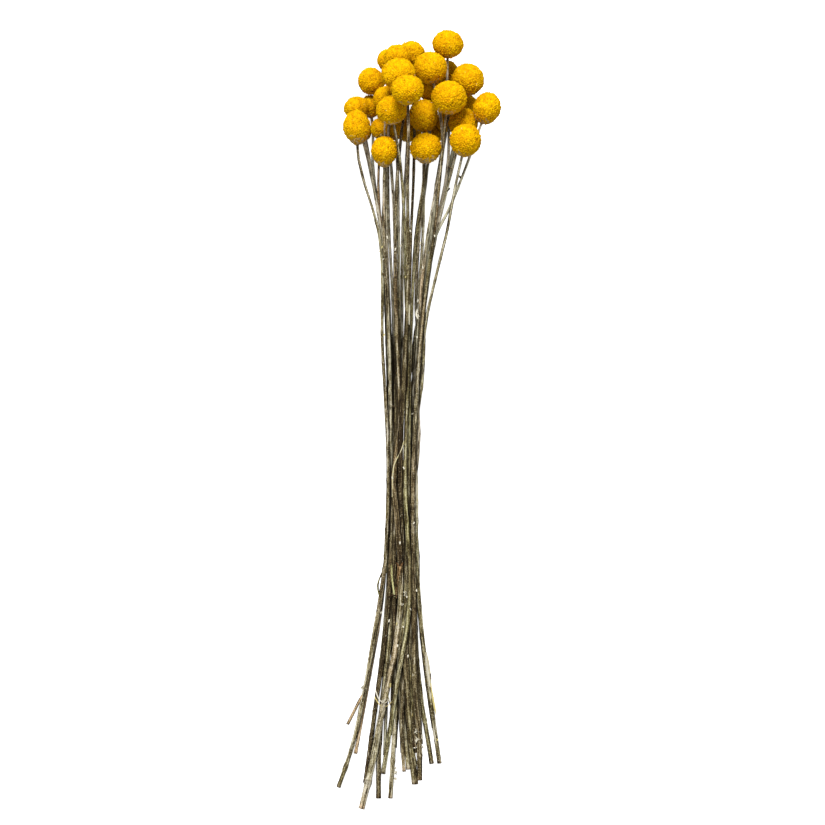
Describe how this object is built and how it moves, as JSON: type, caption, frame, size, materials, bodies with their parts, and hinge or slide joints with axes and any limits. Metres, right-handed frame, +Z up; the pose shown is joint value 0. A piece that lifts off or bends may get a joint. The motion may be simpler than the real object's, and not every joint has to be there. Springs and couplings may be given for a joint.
{
  "type": "bunch of dried billy buttons",
  "caption": "Gathered bunch of dried billy buttons lying flat: long thin stems crossing at a narrow waist, each ending in a golden globe of florets",
  "frame": {"origin": "centre of the bounding box's underside, on the surface the bunch lies on", "axes": "+X to the right and +Y from the cut ends towards the flowers as seen from above, +Z up from the surface"},
  "size_m": [0.1312, 0.6234, 0.093],
  "materials": {
    "florets": "matt, finely granular dried florets",
    "stem": "matt, ridged dried stem"
  },
  "bodies": {
    "root": {"head_01": "florets", "head_02": "florets", "head_03": "florets", "head_04": "florets", "head_05": "florets", "head_06": "florets", "head_07": "florets", "head_08": "florets", "head_09": "florets", "head_10": "florets", "head_11": "florets", "head_12": "florets", "head_13": "florets", "head_14": "florets", "head_15": "florets", "head_16": "florets", "head_17": "florets", "head_18": "florets", "head_19": "florets", "head_20": "florets", "head_21": "florets", "head_22": "florets", "head_23": "florets", "head_24": "florets", "head_25": "florets", "head_26": "florets", "head_27": "florets", "head_28": "florets", "head_29": "florets", "head_30": "florets", "stem_01": "stem", "stem_02": "stem", "stem_03": "stem", "stem_04": "stem", "stem_05": "stem", "stem_06": "stem", "stem_07": "stem", "stem_08": "stem", "stem_09": "stem", "stem_10": "stem", "stem_11": "stem", "stem_12": "stem", "stem_13": "stem", "stem_14": "stem", "stem_15": "stem", "stem_16": "stem", "stem_17": "stem", "stem_18": "stem", "stem_19": "stem", "stem_20": "stem", "stem_21": "stem", "stem_22": "stem", "stem_23": "stem", "stem_24": "stem", "stem_25": "stem", "stem_26": "stem", "stem_27": "stem", "stem_28": "stem", "stem_29": "stem", "stem_30": "stem"}
  },
  "joints": []
}
